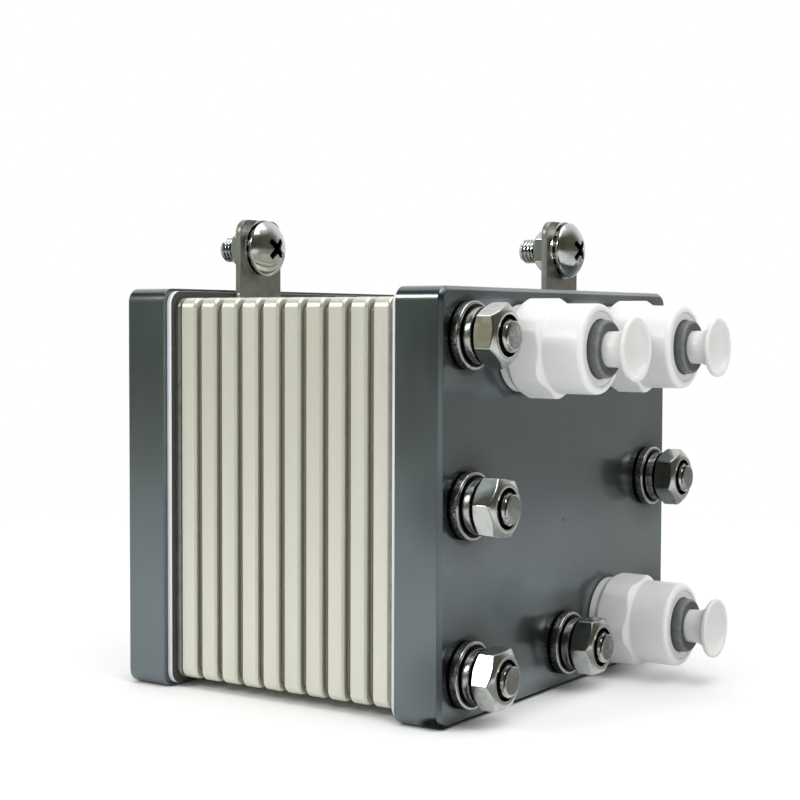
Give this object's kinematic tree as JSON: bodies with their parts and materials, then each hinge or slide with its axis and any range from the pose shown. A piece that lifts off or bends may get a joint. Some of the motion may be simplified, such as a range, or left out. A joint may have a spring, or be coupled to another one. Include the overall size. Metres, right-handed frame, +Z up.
{
  "type": "pem electrolyzer cell",
  "caption": "Bolted stack of flow plates and membranes that splits water into hydrogen and oxygen, with metal end plates, terminal tabs and plugged push-in tube ports.",
  "frame": {"origin": "on the surface it stands on, under the middle of the overall outline with the plugs in", "axes": "+X along the stack and out of the port side, +Y across the plates towards the far side of the port face, +Z up"},
  "size_m": [0.0952, 0.089, 0.09],
  "materials": {
    "end_plate_metal": "satin, hard anodised slate grey",
    "insulating_sheet": "matt white",
    "terminal_metal": "satin grey",
    "flow_plate_metal": "ground edge, warm silver",
    "gasket_rubber": "matt black",
    "membrane_film": "thin film, amber",
    "titanium_felt": "porous, grey",
    "carbon_paper": "porous, black",
    "sleeve_plastic": "natural white",
    "fastener_steel": "polished stainless",
    "fitting_plastic": "moulded white, semi gloss",
    "cap_plastic": "moulded white, semi gloss",
    "ring_plastic": "moulded dark grey",
    "plug_plastic": "moulded white, semi gloss",
    "seal_rubber": "matt black"
  },
  "bodies": {
    "stack": {"anode_felts": "titanium_felt", "cathode_papers": "carbon_paper", "cell_gaskets_1": "gasket_rubber", "cell_gaskets_2": "gasket_rubber", "cell_gaskets_3": "gasket_rubber", "cell_gaskets_4": "gasket_rubber", "cell_gaskets_5": "gasket_rubber", "cell_gaskets_6": "gasket_rubber", "cell_gaskets_7": "gasket_rubber", "cell_gaskets_8": "gasket_rubber", "cell_gaskets_9": "gasket_rubber", "flat_washers": "fastener_steel", "flow_plate_01": "flow_plate_metal", "flow_plate_02": "flow_plate_metal", "flow_plate_03": "flow_plate_metal", "flow_plate_04": "flow_plate_metal", "flow_plate_05": "flow_plate_metal", "flow_plate_06": "flow_plate_metal", "flow_plate_07": "flow_plate_metal", "flow_plate_08": "flow_plate_metal", "flow_plate_09": "flow_plate_metal", "flow_plate_10": "flow_plate_metal", "insulating_sleeves": "sleeve_plastic", "membrane_1": "membrane_film", "membrane_2": "membrane_film", "membrane_3": "membrane_film", "membrane_4": "membrane_film", "membrane_5": "membrane_film", "membrane_6": "membrane_film", "membrane_7": "membrane_film", "membrane_8": "membrane_film", "membrane_9": "membrane_film", "port_body_far_bottom": "fitting_plastic", "port_body_far_top": "fitting_plastic", "port_body_near_top": "fitting_plastic", "port_cap_far_bottom": "cap_plastic", "port_cap_far_top": "cap_plastic", "port_cap_near_top": "cap_plastic", "port_end_plate": "end_plate_metal", "port_face_seals": "seal_rubber", "port_insulating_sheet": "insulating_sheet", "port_terminal_plate": "terminal_metal", "rear_end_plate": "end_plate_metal", "rear_insulating_sheet": "insulating_sheet", "rear_terminal_plate": "terminal_metal", "spring_washers": "fastener_steel", "terminal_lock_washers": "fastener_steel", "terminal_nuts": "fastener_steel", "terminal_screws": "fastener_steel", "terminal_washers": "fastener_steel", "tie_bolts": "fastener_steel", "tie_nuts": "fastener_steel", "tube_seals": "seal_rubber"},
    "near_top_ring": {"release_ring_near_top": "ring_plastic"},
    "near_top_plug": {"tube_plug_near_top": "plug_plastic"},
    "far_top_ring": {"release_ring_far_top": "ring_plastic"},
    "far_top_plug": {"tube_plug_far_top": "plug_plastic"},
    "far_bottom_ring": {"release_ring_far_bottom": "ring_plastic"},
    "far_bottom_plug": {"tube_plug_far_bottom": "plug_plastic"}
  },
  "joints": [
    {"name": "near_top_ring_press", "type": "slide", "parent": "stack", "child": "near_top_ring", "axis": [1, 0, 0], "range_m": [-0.0012, 0]},
    {"name": "near_top_plug_pull", "type": "slide", "parent": "stack", "child": "near_top_plug", "axis": [1, 0, 0], "range_m": [0, 0.018]},
    {"name": "far_top_ring_press", "type": "slide", "parent": "stack", "child": "far_top_ring", "axis": [1, 0, 0], "range_m": [-0.0012, 0]},
    {"name": "far_top_plug_pull", "type": "slide", "parent": "stack", "child": "far_top_plug", "axis": [1, 0, 0], "range_m": [0, 0.018]},
    {"name": "far_bottom_ring_press", "type": "slide", "parent": "stack", "child": "far_bottom_ring", "axis": [1, 0, 0], "range_m": [-0.0012, 0]},
    {"name": "far_bottom_plug_pull", "type": "slide", "parent": "stack", "child": "far_bottom_plug", "axis": [1, 0, 0], "range_m": [0, 0.018]}
  ]
}
